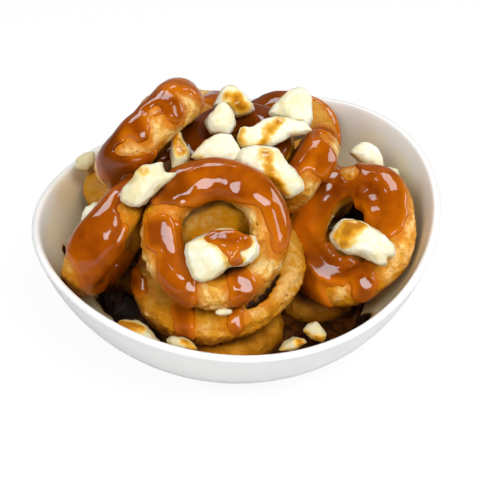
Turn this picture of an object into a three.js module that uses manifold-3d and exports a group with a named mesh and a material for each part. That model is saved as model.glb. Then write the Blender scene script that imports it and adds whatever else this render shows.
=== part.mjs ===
// Onion ring poutine: battered onion rings and cheese curds heaped in a deep white bowl with a wavy rim.
// Millimetres, +Z up. The origin is on the table under the middle of the bowl, and -Y is the front.
import * as THREE from 'three';
import { mergeVertices } from 'three/addons/utils/BufferGeometryUtils.js';
import Module from 'manifold-3d';

const wasm = await Module();
wasm.setup();

// ---- driving dimensions -------------------------------------------------------------------------
const CLEARANCE = 0.35; // left between two pieces that lie against each other

const BOWL_RADIUS = 105; // to the outside of the rim
const BOWL_HEIGHT = 64; // mean height of the rim
const BOWL_WALL = 4.5;
const BOWL_FLOOR = 5.5; // top of the inside floor
const RIM_SWAY = { height: 8.4, at: 0.65 }; // one side of the rim is higher than the other
const RIM_WAVE = { height: 7.5, at: 0.52 }; // two crests and two dips on top of that
const FOOT_OUTER = 58;
const FOOT_INNER = 50;
const FOOT_RECESS = 2;
const BOWL_STEPS = 48;

const RING_STEPS = 20; // round the ring
const COARSE_RING_STEPS = 16; // for the rings at the bottom of the heap
const TUBE_STEPS = 9; // round its section
const COARSE_TUBE_STEPS = 8;
const SQUARING = 0.87; // 1 is an elliptical section, less is squarer
const SWELL = 1.03; // makes up for the flats of a section with few sides

const CURD_SLOPE = 38; // the curds lie back on the front of the heap
const CURD_SWELL = 1.1;

// Each onion ring: where its middle is, which way its face looks (turn from the front towards +X),
// how far it leans from flat, the radius of its middle line, and half its width and half its thickness.
const RINGS = [
  { name: 'ring_floor_front', at: [-7, -42, 16], turn: -150, lean: 6, radius: 23, wide: 9, thick: 8.5, coarse: true },
  { name: 'ring_floor_left', at: [-43, 9, 17.5], turn: 138, lean: 9, radius: 22, wide: 9, thick: 8.5, coarse: true },
  { name: 'ring_floor_right', at: [43.5, -3, 19.5], turn: -40, lean: 13, radius: 23, wide: 9, thick: 8.5, coarse: true },
  { name: 'ring_floor_back', at: [5, 45, 17.5], turn: -7, lean: 9, radius: 21, wide: 9, thick: 8.5, coarse: true },
  { name: 'ring_under_left', at: [-27, 49.5, 34], turn: -105, lean: 11, radius: 22, wide: 9, thick: 8.5, coarse: true },
  { name: 'ring_under_right', at: [40.5, 44, 39.5], turn: -97, lean: 10, radius: 19, wide: 9, thick: 8.5, coarse: true },
  { name: 'ring_under_back', at: [-3, 60, 54], turn: 99, lean: 18, radius: 17, wide: 8, thick: 7.5, coarse: true },
  { name: 'ring_wide', at: [-9, -27, 43], turn: -52, lean: 15, radius: 35.5, wide: 9.5, thick: 9 },
  { name: 'ring_low_left', at: [-54, 38.5, 51.5], turn: -154, lean: 12, radius: 22, wide: 9.5, thick: 9 },
  { name: 'ring_back_right', at: [29.5, 63.5, 67.5], turn: 20, lean: 10, radius: 20.5, wide: 9, thick: 9 },
  { name: 'ring_back_left', at: [-29, 76, 75], turn: -176, lean: 21, radius: 18, wide: 9, thick: 8.5 },
  { name: 'ring_right', at: [60, -8.5, 51.5], turn: -44, lean: 37, radius: 27.5, wide: 9.5, thick: 9.5, oval: 0.09, long: 116 },
  { name: 'ring_left', at: [-61, -25, 62], turn: -119, lean: 66, radius: 25, wide: 9.5, thick: 10 },
  { name: 'ring_front', at: [-9.5, -43, 78], turn: 6, lean: 48, radius: 26.5, wide: 9.5, thick: 9 },
  { name: 'ring_small', at: [34.5, 12, 75.5], turn: -107, lean: 57, radius: 15, wide: 9, thick: 9 },
  { name: 'ring_crown', at: [1, 27.5, 82], turn: -60, lean: 7, radius: 22, wide: 9, thick: 8.5 },
  { name: 'ring_top_left', at: [-44.5, 19.5, 94], turn: -118, lean: 54, radius: 25, wide: 9.5, thick: 10.5 },
];

// Each curd: where its middle is, its width, depth and height, and how far its right end is lifted.
const CURDS = [
  { name: 'curd_front_hole', at: [-6, -59.5, 78], size: [33, 20, 20], roll: 8 },
  { name: 'curd_right_hole', at: [63, -32, 66], size: [35, 17, 17], roll: -24 },
  { name: 'curd_left_notch', at: [-41, -35, 99], size: [25, 18, 17], roll: 10 },
  { name: 'curd_middle', at: [17, -11.5, 93], size: [34, 18, 19], roll: -32 },
  { name: 'curd_behind_front', at: [-11, -1, 98], size: [25, 16, 16], roll: 5 },
  { name: 'curd_crown', at: [-8, 25, 100], size: [15, 14, 17], roll: 0 },
  { name: 'curd_long', at: [17.5, 9.5, 101], size: [38, 14, 13], roll: 10 },
  { name: 'curd_back', at: [-1, 44.5, 100.5], size: [24, 14, 14], roll: -42 },
  { name: 'curd_tall', at: [28, 28, 104], size: [22, 17, 23], roll: 25 },
  { name: 'curd_right_back', at: [71, 31.5, 73], size: [18, 14, 15], roll: -20 },
  { name: 'curd_sliver', at: [-27.5, 5, 95], size: [9, 12, 21], roll: 5 },
  { name: 'curd_behind_left', at: [-73.5, -10, 59], size: [13, 13, 20], roll: 10 },
  { name: 'curd_far_left', at: [-83, 41, 63], size: [12, 11, 12], roll: 0 },
  { name: 'curd_low_left', at: [-46, -67, 38], size: [22, 13, 11], roll: -28 },
  { name: 'curd_low_front', at: [-26, -75, 38], size: [17, 12, 8], roll: -16 },
  { name: 'curd_low_right', at: [39.5, -49, 22], size: [12, 12, 12], roll: 0 },
  { name: 'curd_low_middle', at: [27.5, -65.5, 28], size: [16, 11, 8], roll: 22 },
  { name: 'curd_far_right', at: [83, 22, 66], size: [10, 10, 14], roll: 20 },
];

const PORCELAIN = { color: 0xf3f0ea, roughness: 0.15, metalness: 0 };
const BATTER = { color: 0xc8862b, roughness: 0.6, metalness: 0 };
const CHEESE = { color: 0xfaf1d6, roughness: 0.45, metalness: 0 };

// ---- helpers ------------------------------------------------------------------------------------
const degrees = THREE.MathUtils.degToRad;

// The same row of numbers between 0 and 1 each time for one seed.
function* randomRow(seed) {
  let state = seed * 7919 + 17;
  while (true) {
    state = (state * 16807) % 2147483647;
    yield state / 2147483647;
  }
}

// Moves every point of a geometry by a rule and leaves one closed skin of shared points.
function reshape(geometry, rule) {
  const plain = geometry.clone();
  plain.deleteAttribute('normal');
  plain.deleteAttribute('uv');
  const merged = mergeVertices(plain, 1e-3);
  const position = merged.attributes.position;
  const point = new THREE.Vector3();
  for (let i = 0; i < position.count; i++) {
    point.fromBufferAttribute(position, i);
    rule(point);
    position.setXYZ(i, point.x, point.y, point.z);
  }
  const kept = [];
  const index = merged.index.array;
  for (let i = 0; i < index.length; i += 3) {
    const [a, b, c] = [index[i], index[i + 1], index[i + 2]];
    if (a !== b && b !== c && a !== c) kept.push(a, b, c);
  }
  merged.setIndex(kept);
  if (volumeOf(merged) < 0) {
    for (let i = 0; i < kept.length; i += 3) [kept[i], kept[i + 1]] = [kept[i + 1], kept[i]];
    merged.setIndex(kept);
  }
  return merged;
}

function volumeOf(geometry) {
  const [a, b, c] = [new THREE.Vector3(), new THREE.Vector3(), new THREE.Vector3()];
  const { position } = geometry.attributes;
  const index = geometry.index.array;
  let sum = 0;
  for (let i = 0; i < index.length; i += 3) {
    a.fromBufferAttribute(position, index[i]);
    b.fromBufferAttribute(position, index[i + 1]);
    c.fromBufferAttribute(position, index[i + 2]);
    sum += a.dot(b.cross(c)) / 6;
  }
  return sum;
}

function toSolid(geometry, matrix) {
  const placed = geometry.clone().applyMatrix4(matrix);
  return new wasm.Manifold(
    new wasm.Mesh({
      numProp: 3,
      vertProperties: new Float32Array(placed.attributes.position.array),
      triVerts: new Uint32Array(placed.index.array),
    }),
  );
}

function toGeometry(solid) {
  const mesh = solid.getMesh();
  const geometry = new THREE.BufferGeometry();
  geometry.setAttribute('position', new THREE.BufferAttribute(new Float32Array(mesh.vertProperties), 3));
  geometry.setIndex(new THREE.BufferAttribute(new Uint32Array(mesh.triVerts), 1));
  return geometry;
}

// A cut can leave a crumb beside the piece, so only the biggest part is kept.
function biggest(solid) {
  return solid.decompose().reduce((best, part) => (part.volume() > best.volume() ? part : best));
}

// ---- the bowl -----------------------------------------------------------------------------------
const rimHeight = (angle) =>
  BOWL_HEIGHT + RIM_SWAY.height * Math.cos(angle - RIM_SWAY.at) + RIM_WAVE.height * Math.cos(2 * (angle - RIM_WAVE.at));

// Outer radius at a share of the height: the wall is part of a ball.
function wallRadius(share) {
  const top = 0.17;
  const drop = top + 0.66 * (1 - share);
  return (BOWL_RADIUS * Math.sqrt(1 - drop * drop)) / Math.sqrt(1 - top * top);
}

// The rim's wave dies away towards the foot.
const waveShare = (height) => THREE.MathUtils.clamp((height / BOWL_HEIGHT - 0.1) / 0.9, 0, 1.05);

function bowlGeometry(grow = 0) {
  const wall = BOWL_WALL + grow;
  const floor = BOWL_FLOOR + grow;
  const profile = [
    [0, FOOT_RECESS],
    [FOOT_INNER - 1, FOOT_RECESS],
    [FOOT_INNER, 0],
    [FOOT_OUTER, 0],
  ];
  for (const share of [0.08, 0.2, 0.36, 0.54, 0.74, 0.96]) profile.push([wallRadius(share), share * BOWL_HEIGHT]);
  profile.push([BOWL_RADIUS - 0.8, BOWL_HEIGHT]);
  profile.push([BOWL_RADIUS - wall + 0.8, BOWL_HEIGHT]);
  for (const share of [0.94, 0.72, 0.52, 0.35, 0.22]) profile.push([wallRadius(share) - wall, share * BOWL_HEIGHT]);
  profile.push([wallRadius(0.12) - wall - 1, floor + 2.2]);
  profile.push([wallRadius(0.06) - wall - 5, floor]);
  profile.push([0, floor]);
  const lathe = new THREE.LatheGeometry(
    profile.map(([radius, height]) => new THREE.Vector2(radius, height)),
    BOWL_STEPS,
  );
  lathe.rotateX(Math.PI / 2);
  return reshape(lathe, (p) => {
    p.z += (rimHeight(Math.atan2(p.y, p.x)) - BOWL_HEIGHT) * waveShare(p.z);
  });
}

// ---- onion rings --------------------------------------------------------------------------------
function ringGeometry(ring, seed, grow = 0) {
  const { radius, wide, thick, oval = 0, long = 0, coarse = false } = ring;
  const random = randomRow(seed);
  const waves = [2, 3, 4, 5].map((count) => ({
    count,
    middle: (random.next().value - 0.5) * 1.1,
    size: (random.next().value - 0.5) * 0.09,
    turn: random.next().value * 2 * Math.PI,
  }));
  const torus = coarse
    ? new THREE.TorusGeometry(radius, 1, COARSE_TUBE_STEPS, COARSE_RING_STEPS)
    : new THREE.TorusGeometry(radius, 1, TUBE_STEPS, RING_STEPS);
  return reshape(torus, (p) => {
    const angle = Math.atan2(p.y, p.x);
    const across = Math.hypot(p.x, p.y) - radius;
    let middle = radius * (1 + oval * Math.cos(2 * (angle - degrees(long))));
    let size = SWELL;
    for (const wave of waves) {
      middle += wave.middle * Math.cos(wave.count * angle + wave.turn);
      size += wave.size * Math.sin(wave.count * angle - wave.turn);
    }
    const square = (value) => Math.sign(value) * Math.abs(value) ** SQUARING;
    const distance = middle + square(across) * (wide * size + grow);
    p.set(distance * Math.cos(angle), distance * Math.sin(angle), square(p.z) * (thick * size + grow));
  });
}

function ringMatrix({ at, turn, lean }) {
  const rotation = new THREE.Euler(degrees(lean), 0, degrees(turn), 'ZXY');
  return new THREE.Matrix4().makeRotationFromEuler(rotation).setPosition(...at);
}

// ---- cheese curds -------------------------------------------------------------------------------
function curdGeometry(curd, seed, grow = 0) {
  const random = randomRow(seed);
  const lumps = [1.6, 2.3, 3.1].map((pace) => ({
    pace,
    along: new THREE.Vector3(...[0, 0, 0].map(() => random.next().value - 0.5)).normalize(),
    shift: random.next().value * 2 * Math.PI,
  }));
  const half = curd.size.map((length) => (length / 2) * CURD_SWELL);
  return reshape(new THREE.IcosahedronGeometry(1, 1), (p) => {
    let swell = 1;
    for (const lump of lumps) swell += 0.09 * Math.sin(lump.pace * p.dot(lump.along) * 2 + lump.shift);
    const square = (value) => Math.sign(value) * Math.abs(value) ** 0.86;
    p.set(
      square(p.x) * (half[0] * swell + grow),
      square(p.y) * (half[1] * swell + grow),
      square(p.z) * (half[2] * swell + grow),
    );
  });
}

function curdMatrix({ at, roll }) {
  const rotation = new THREE.Euler(degrees(-CURD_SLOPE), degrees(-roll), 0, 'XYZ');
  return new THREE.Matrix4().makeRotationFromEuler(rotation).setPosition(...at);
}

// ---- assembly -----------------------------------------------------------------------------------
const pieces = [{ name: 'bowl', look: PORCELAIN, shape: bowlGeometry, matrix: new THREE.Matrix4() }];
RINGS.forEach((ring, i) => {
  pieces.push({ name: ring.name, look: BATTER, shape: (grow) => ringGeometry(ring, i + 1, grow), matrix: ringMatrix(ring) });
});
CURDS.forEach((curd, i) => {
  pieces.push({ name: curd.name, look: CHEESE, shape: (grow) => curdGeometry(curd, i + 40, grow), matrix: curdMatrix(curd) });
});

const group = new THREE.Group();
const earlier = []; // the grown shapes that later pieces keep clear of
for (const { name, look, shape, matrix } of pieces) {
  let solid = toSolid(shape(0), matrix);
  for (const cutter of earlier) {
    if (solid.intersect(cutter).volume() > 1e-3) solid = biggest(solid.subtract(cutter));
  }
  earlier.push(toSolid(shape(CLEARANCE), matrix));
  const mesh = new THREE.Mesh(toGeometry(solid), new THREE.MeshStandardMaterial(look));
  mesh.name = name;
  group.add(mesh);
}

export default group;
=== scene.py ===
# Onion ring poutine: battered onion rings and cheese curds heaped in a deep white bowl, under brown gravy.
# Metres, +Z up, the origin on the table under the middle of the bowl; -Y is the front of the dish.
import math

import bmesh
import bpy
import numpy as np
from mathutils import Matrix, Vector, noise
from mathutils.bvhtree import BVHTree
from mathutils.kdtree import KDTree


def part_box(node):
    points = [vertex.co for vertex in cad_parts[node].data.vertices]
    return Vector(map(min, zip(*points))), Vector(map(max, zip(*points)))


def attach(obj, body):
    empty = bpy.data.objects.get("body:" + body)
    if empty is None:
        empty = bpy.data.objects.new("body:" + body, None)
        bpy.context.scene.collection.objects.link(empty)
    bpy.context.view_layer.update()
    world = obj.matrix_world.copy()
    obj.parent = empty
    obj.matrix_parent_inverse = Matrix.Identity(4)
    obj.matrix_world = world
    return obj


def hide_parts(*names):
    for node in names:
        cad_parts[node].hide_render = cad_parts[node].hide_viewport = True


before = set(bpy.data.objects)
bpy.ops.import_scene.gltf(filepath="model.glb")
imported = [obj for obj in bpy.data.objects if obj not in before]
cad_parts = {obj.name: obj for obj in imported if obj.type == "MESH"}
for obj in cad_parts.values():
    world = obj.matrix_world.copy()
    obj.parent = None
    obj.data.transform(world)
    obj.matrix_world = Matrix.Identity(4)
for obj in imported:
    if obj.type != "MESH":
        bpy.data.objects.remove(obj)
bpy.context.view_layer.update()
print("frame loaded:", len(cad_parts), "nodes")

mm = 0.001
scene = bpy.context.scene


def inMm(**lengths):
    return {name: length * mm for name, length in lengths.items()}


slope = math.radians(38)  # the heap and everything on it is laid to be seen from this height
across = np.array([1.0, 0.0, 0.0])
upSlope = np.array([0.0, math.sin(slope), math.cos(slope)])
outSlope = np.array([0.0, -math.cos(slope), math.sin(slope)])
viewShape = dict(inMm(distance=567, near=10), target=np.array([2.46, 0, 41.02]) * mm, lens=80, sensor=36)
lampAim = np.array([0, 0, 0.06])  # the spot in the heap that every lamp faces
shineSet = dict(  # softboxes that show as bright patches on wet gravy
    front=dict(azimuth=14, elevation=34, distance=1.15, size=(0.36, 0.3), power=4.4),
    back=dict(azimuth=-135, elevation=47, distance=1.3, size=(0.62, 0.5), power=8.6),
    side=dict(azimuth=100, elevation=24, distance=1.4, size=(0.7, 0.5), power=8.6),
    top=dict(azimuth=174, elevation=65, distance=1.3, size=(0.56, 0.46), power=7.4),
)


def wayTo(azimuth, elevation):  # degrees round from the front and up from the table
    a, e = math.radians(azimuth), math.radians(elevation)
    return np.array([math.sin(a) * math.cos(e), -math.cos(a) * math.cos(e), math.sin(e)])


def unit(way):
    return way / np.linalg.norm(way)


eyePlace = viewShape["target"] + outSlope * viewShape["distance"]
shinePlaces = {
    name: lampAim + wayTo(box["azimuth"], box["elevation"]) * box["distance"] for name, box in shineSet.items()
}


# working with meshes
def addObject(name, data):
    thing = bpy.data.objects.new(name, data)
    scene.collection.objects.link(thing)
    return thing


def gather(meshes):
    bm = bmesh.new()
    for mesh in meshes:
        bm.from_mesh(mesh)
    return bm


def sortMesh(bm):  # a merge leaves any order, so all of it is sorted by place, to come out the same on each run
    spread = Vector((1.0, 7.31, 13.7))  # uneven, so that no two places come level
    for items in (bm.verts, bm.edges, bm.faces):
        items.sort(key=lambda item: math.fsum(v.co @ spread for v in getattr(item, "verts", [item])))


def newPiece(name, bm):
    mesh = bpy.data.meshes.new(name)
    bm.to_mesh(mesh)
    bm.free()
    return addObject(name, mesh)


def rowsOf(items, field):
    flat = np.empty(len(items) * 3, np.float32)
    items.foreach_get(field, flat)
    return flat.reshape(-1, 3).astype(float)


def pointsOf(piece):
    return rowsOf(piece.data.vertices, "co")


def normalsOf(piece):
    return rowsOf(piece.data.vertex_normals, "vector")


def movePoints(piece, points):
    piece.data.vertices.foreach_set("co", points.astype(np.float32).ravel())
    piece.data.update()


def swellPiece(piece, rise):  # moves each point out along its normal
    movePoints(piece, pointsOf(piece) + normalsOf(piece) * np.reshape(rise, (-1, 1)))


def keepValue(piece, name, values):  # a number for each point, or one for them all, for the materials to read
    layer = piece.data.attributes.new(name, "FLOAT", "POINT")
    layer.data.foreach_set("value", np.full(len(layer.data), values, np.float32))


def applyModifiers(piece):
    mesh = bpy.data.meshes.new_from_object(piece.evaluated_get(bpy.context.evaluated_depsgraph_get()))
    piece.modifiers.clear()
    old = piece.data
    piece.data = mesh
    bpy.data.meshes.remove(old)
    mesh.name = piece.name


def roundOff(piece, levels):
    rounding = piece.modifiers.new("rounding", "SUBSURF")
    rounding.levels = rounding.render_levels = levels


def skinOver(piece, voxel, easing):  # one even closed skin over everything in the piece
    skin = piece.modifiers.new("skin", "REMESH")
    skin.mode = "VOXEL"
    skin.voxel_size = voxel
    ease = piece.modifiers.new("ease", "SMOOTH")
    ease.factor = 0.5
    ease.iterations = easing
    applyModifiers(piece)


def formFrom(node, name, voxel, easing, swell):  # a rounded copy of a solid, for a finer surface to grow on
    bm = gather([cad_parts[node].data])
    bmesh.ops.remove_doubles(bm, verts=bm.verts, dist=0.05 * mm)
    piece = newPiece(name, bm)
    roundOff(piece, 2)
    skinOver(piece, voxel, easing)
    swellPiece(piece, swell)
    return piece


def joinPieces(pieces, name):
    meshes = [piece.data for piece in pieces]
    joined = newPiece(name, gather(meshes))
    for piece, mesh in zip(pieces, meshes):
        bpy.data.objects.remove(piece)
        bpy.data.meshes.remove(mesh)
    return joined


def finishPiece(piece, material, slot, *replaced):
    piece.data.materials.clear()
    piece.data.materials.append(material)
    piece.data.polygons.foreach_set("use_smooth", [True] * len(piece.data.polygons))
    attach(piece, "root")
    if replaced:
        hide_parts(*replaced)


def lumps(points, size, seed, octaves=1):  # about -1 to 1, in lumps of the given size
    shift = Vector((seed * 3.71, seed * 7.13, seed * 5.39))
    if octaves == 1:
        return np.array([noise.noise(Vector(p) / size + shift) for p in points])
    fade, finer = 0.9, 2.0  # of each octave against the last
    return np.array([noise.fractal(Vector(p) / size + shift, fade, finer, octaves) for p in points])


def smoothStep(low, high, x):
    t = np.clip((x - low) / (high - low), 0, 1)
    return t * t * (3 - 2 * t)


strokeShape = dict(soft=1.3 * mm, farOut=-1.0)


def inStrokes(points, strokes, wander=0, size=1 * mm, seed=0):
    # metres inside the edge of brush strokes, negative outside; a stroke is [(point, half width), ...], and its edge
    # may wander in lumps of a size
    if not strokes:
        return np.full(len(points), strokeShape["farOut"])
    total = np.zeros(len(points))
    soft = strokeShape["soft"]
    for stroke in strokes:
        if len(stroke) == 1:
            stroke = stroke * 2
        depth = np.full(len(points), strokeShape["farOut"])
        for (start, r0), (end, r1) in zip(stroke[:-1], stroke[1:]):
            run = end - start
            share = np.clip((points - start) @ run / max(run @ run, 1e-12), 0, 1)
            away = np.linalg.norm(points - (start + share[:, None] * run), axis=1)
            depth = np.maximum(depth, r0 + (r1 - r0) * share - away)
        total += np.exp(np.clip(depth / soft, -30, 30))
    edge = soft * np.log(total + 1e-13)
    return edge + wander * lumps(points, size, seed) if wander else edge


shelter = BVHTree.FromBMesh(gather(node.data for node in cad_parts.values()))  # to find how hidden a spot is
skyShape = dict(inMm(reach=80, lift=1.2), ways=26, lowest=-0.15, turn=2.39996, graze=0.05)
skyWays = []
for k in range(skyShape["ways"]):
    z = skyShape["lowest"] + (1 - skyShape["lowest"]) * (k + 0.5) / skyShape["ways"]
    turn, flat = k * skyShape["turn"], math.sqrt(1 - z * z)
    skyWays.append(Vector((math.cos(turn) * flat, math.sin(turn) * flat, z)))
halfSky = 0.35 * len(skyWays) * 0.5


def openness(piece, samples=1500, around=7, blur=3 * mm):  # how much of the sky each point sees past the solids, 0 to 1
    points, normals = pointsOf(piece), normalsOf(piece)
    chosen = range(0, len(points), max(1, len(points) // samples))
    tree = KDTree(len(chosen))
    seen = []
    for place, index in enumerate(chosen):
        normal = Vector(normals[index])
        start = Vector(points[index]) + normal * skyShape["lift"]
        total = free = 1e-6
        for way in skyWays:
            share = normal.dot(way)
            if share > skyShape["graze"]:
                total += share
                if shelter.ray_cast(start, way, skyShape["reach"])[0] is None:
                    free += share
        seen.append(free / max(total, halfSky))
        tree.insert(points[index], place)
    tree.balance()
    values = []
    for point in points:
        found = tree.find_n(point, around)
        weights = [math.exp(-((away / blur) ** 2)) + 1e-6 for _, _, away in found]
        values.append(sum(seen[place] * w for (_, place, _), w in zip(found, weights)) / sum(weights))
    return np.array(values)


# shader building
def socketGroup(name, inputs, outputs):
    group = bpy.data.node_groups.new(name, "ShaderNodeTree")
    for label, kind, value in inputs:
        socket = group.interface.new_socket(name=label, in_out="INPUT", socket_type="NodeSocket" + kind)
        socket.default_value = value
    for label, kind in outputs:
        group.interface.new_socket(name=label, in_out="OUTPUT", socket_type="NodeSocket" + kind)
    return group, group.nodes.new("NodeGroupInput").outputs, group.nodes.new("NodeGroupOutput")


class Wires:  # short ways to add nodes to one tree
    def __init__(self, tree):
        self.tree = tree
        self.link = tree.links.new

    def node(self, kind, **values):
        node = self.tree.nodes.new("ShaderNode" + kind)
        for key, value in values.items():
            setattr(node, key, value)
        return node

    def feed(self, node, values):  # links or plain numbers, by the name or place of the socket
        for key, value in values.items():
            if hasattr(value, "is_linked"):
                self.link(value, node.inputs[key])
            else:
                node.inputs[key].default_value = value
        return node.outputs

    def noise(self, where, scale, detail=2.0, rough=0.5, distortion=0.0):
        values = dict(Vector=where, Scale=scale, Detail=detail, Roughness=rough, Distortion=distortion)
        return self.feed(self.node("TexNoise"), values)["Fac"]

    def range(self, value, low, high, out0=0.0, out1=1.0):
        values = {"Value": value, "From Min": low, "From Max": high, "To Min": out0, "To Max": out1}
        return self.feed(self.node("MapRange", interpolation_type="SMOOTHSTEP"), values)["Result"]

    def math(self, kind, a, b):
        return self.feed(self.node("Math", operation=kind), {0: a, 1: b})[0]

    def mix(self, share, a, b):
        return self.feed(self.node("Mix", data_type="RGBA"), dict(Factor=share, A=a, B=b))["Result"]

    def coats(self, shade, value, look, rows):  # tones laid over a shade: from, to, the share at each, and the tone
        for low, high, out0, out1, tone in rows:
            shade = self.mix(self.range(value, low, high, out0, out1), shade, look[tone])
        return shade

    def value(self, name):
        return self.node("Attribute", attribute_name=name).outputs["Fac"]

    def group(self, group, **values):
        return self.feed(self.node("Group", node_tree=group), values)

    def bump(self, height, distance, strength=1.0):
        return self.feed(self.node("Bump"), dict(Strength=strength, Distance=distance, Height=height))["Normal"]


def newMaterial(name):
    material = bpy.data.materials.new(name)
    material.use_nodes = True
    wires = Wires(material.node_tree)
    return material, wires, material.node_tree.nodes["Principled BSDF"], wires.node("TexCoord").outputs["Object"]


def colour(red, green, blue):  # a colour given as on the screen, 0 to 255, as the renderer's own
    shares = (c / 255 for c in (red, green, blue))
    return tuple(c / 12.92 if c <= 0.04045 else ((c + 0.055) / 1.055) ** 2.4 for c in shares) + (1.0,)


def palette(**tones):
    return {name: colour(*tone) for name, tone in tones.items()}


black = (0, 0, 0, 1)
mottleRows = dict(
    patches=[(0.4, 0.52, 0.0, 1.0, "Middle"), (0.5, 0.66, 0.0, 1.0, "Deep")], specks=[(0.54, 0.68, 0.0, 0.6, "Deep")],
)


def buildMottle():  # soft patches of three tones with small specks, for anything fried or cooked
    inputs = [("Vector", "Vector", (0, 0, 0)), ("Patch", "Float", 70.0), ("Speck", "Float", 330.0)]
    inputs += [(tone, "Color", (1, 1, 1, 1)) for tone in ("Pale", "Middle", "Deep")]
    outputs = [("Color", "Color"), ("Patches", "Float"), ("Specks", "Float")]
    group, given, result = socketGroup("mottle", inputs, outputs)
    w = Wires(group)
    patches = w.noise(given["Vector"], given["Patch"], 3, 0.6, 0.4)
    specks = w.noise(given["Vector"], given["Speck"], 2, 0.6)
    tone = w.coats(given["Pale"], patches, given, mottleRows["patches"])
    tone = w.coats(tone, specks, given, mottleRows["specks"])
    w.feed(result, dict(Color=tone, Patches=patches, Specks=specks))
    return group


def buildGrain():  # fine raised grain with pores
    inputs = [("Vector", "Vector", (0, 0, 0)), ("Grain", "Float", 700.0), ("Pores", "Float", 260.0)]
    outputs = [(label, "Float") for label in ("Height", "Fine", "Pore mask")]
    group, given, result = socketGroup("grain", inputs, outputs)
    w = Wires(group)
    fine = w.noise(given["Vector"], given["Grain"], 4, 0.65)
    cells = w.feed(w.node("TexVoronoi", feature="F1"), dict(Vector=given["Vector"], Scale=given["Pores"]))
    pores = w.range(cells["Distance"], 0.08, 0.22, 1.0, 0.0)
    height = w.math("SUBTRACT", fine, w.math("MULTIPLY", pores, 0.5))
    w.feed(result, {"Height": height, "Fine": fine, "Pore mask": pores})
    return group


mottle = buildMottle()
grain = buildGrain()


def mottled(w, where, look, tones=("pale", "middle", "deep")):
    pale, middle, deep = (look[tone] for tone in tones)
    return w.group(mottle, Vector=where, Patch=look["patch"], Speck=look["speck"], Pale=pale, Middle=middle, Deep=deep)


batterLook = dict(
    palette(pale=(252, 214, 136), middle=(234, 172, 66), deep=(196, 114, 16), crumb=(150, 80, 8), glazed=(208, 118, 4),
            golden=(210, 140, 6), brown=(132, 76, 2), dark=(44, 20, 2), toasted=(112, 52, 6)),
    patch=105.0, speck=330.0, grain=620.0, pores=230.0, grainDepth=0.7 * mm, roughness=(0.36, 0.62), glow=0.5,
    soaked=0.85, toast=[(0.4, 1.0, 0.0, 0.8, "toasted")], crumbs=[(0.52, 0.72, 0.0, 0.42, "crumb")],
    # the hidden rows are painted shade: golden, brown, then near black as less of the sky is seen
    hidden=[(0.36, 0.72, 0.8, 0.0, "golden"), (0.05, 0.36, 0.9, 0.0, "brown"), (-0.06, 0.07, 0.8, 0.0, "dark")],
)


def buildBatter(look):
    material, w, shader, where = newMaterial("friedBatter")
    tone = mottled(w, where, look)
    patches = tone["Patches"]
    skin = w.group(grain, Vector=where, Grain=look["grain"], Pores=look["pores"])
    shade = w.coats(tone["Color"], w.value("toast"), look, look["toast"])
    shade = w.coats(shade, skin["Fine"], look, look["crumbs"])
    shade = w.mix(w.math("MULTIPLY", skin["Pore mask"], w.range(patches, 0.5, 0.6, 0.0, 0.4)), shade, look["toasted"])
    # partly painted shade: the soaking share tints the ring golden, for gravy soaked in and for shade
    shade = w.mix(w.math("MULTIPLY", w.value("soak"), look["soaked"]), shade, look["golden"])
    # the glazed tone: gravy soaked in near its edges, and painted light where the batter glows
    wet = w.range(w.math("ADD", w.value("glaze"), w.range(patches, 0.3, 0.7, -0.2, 0.2)), 0.1, 0.95)
    shade = w.mix(w.math("MULTIPLY", wet, 0.9), shade, look["glazed"])
    # painted shade: the batter darkens as less of the sky is seen
    drift = w.math("ADD", w.value("open"), w.range(patches, 0.3, 0.7, 0.06, -0.06))
    shade = w.coats(shade, drift, look, look["hidden"])
    # painted shade: near black in the gap under the ring above
    shade = w.mix(w.value("cleft"), shade, look["dark"])
    rough = w.range(patches, 0.35, 0.7, *look["roughness"])
    w.feed(shader, {
        "Base Color": shade, "Roughness": w.math("SUBTRACT", rough, w.math("MULTIPLY", w.value("glaze"), 0.18)),
        "Emission Color": w.mix(w.value("lit"), black, shade), "Emission Strength": look["glow"],  # painted light: the batter glows where lit is set
        "Subsurface Weight": 0.08, "Subsurface Radius": (1.0, 0.5, 0.15), "Subsurface Scale": 2 * mm,
        "Specular IOR Level": 0.16,
        "Normal": w.bump(w.math("ADD", skin["Height"], w.math("MULTIPLY", tone["Specks"], 0.8)), look["grainDepth"]),
    })
    return material


gravyLook = dict(
    palette(thick=(178, 88, 2), middle=(162, 76, 2), thin=(198, 106, 4), dark=(142, 62, 1), shaded=(116, 50, 2),
            deep=(40, 16, 3), dimmed=(104, 42, 1)),
    patch=38.0, speck=60.0, roughness=(0.05, 0.1), thickAt=3.6, dim=0.75, glow=0.3, ripple=(240.0, 0.045 * mm),
    # the hidden rows paint shade: shaded, then deep near black, where less sky is seen; dimmed is painted shade too
    hidden=[(0.0, 0.26, 1.0, 0.0, "shaded"), (0.0, 0.09, 1.0, 0.0, "deep")],
)


def buildGravy(look):
    material, w, shader, where = newMaterial("brownGravy")
    tone = mottled(w, where, look, ("thick", "middle", "dark"))
    body = w.mix(w.range(w.value("depth"), 0.0, look["thickAt"]), look["thin"], tone["Color"])
    # painted shade: darker where less sky is seen, and where dim is set
    body = w.coats(body, w.value("open"), look, look["hidden"])
    body = w.mix(w.math("MULTIPLY", w.value("dim"), look["dim"]), body, look["dimmed"])
    w.feed(shader, {
        "Base Color": body, "Roughness": w.range(tone["Patches"], 0.3, 0.7, *look["roughness"]),
        # painted light: the gravy glows where lit is set, with no lamp there
        "Emission Color": w.mix(w.value("lit"), black, look["thick"]), "Emission Strength": look["glow"],
        "Subsurface Weight": 0.12, "Subsurface Radius": (0.8, 0.4, 0.1), "Subsurface Scale": 3 * mm, "IOR": 1.42,
        "Normal": w.bump(w.noise(where, look["ripple"][0]), look["ripple"][1]),
    })
    return material


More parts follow.
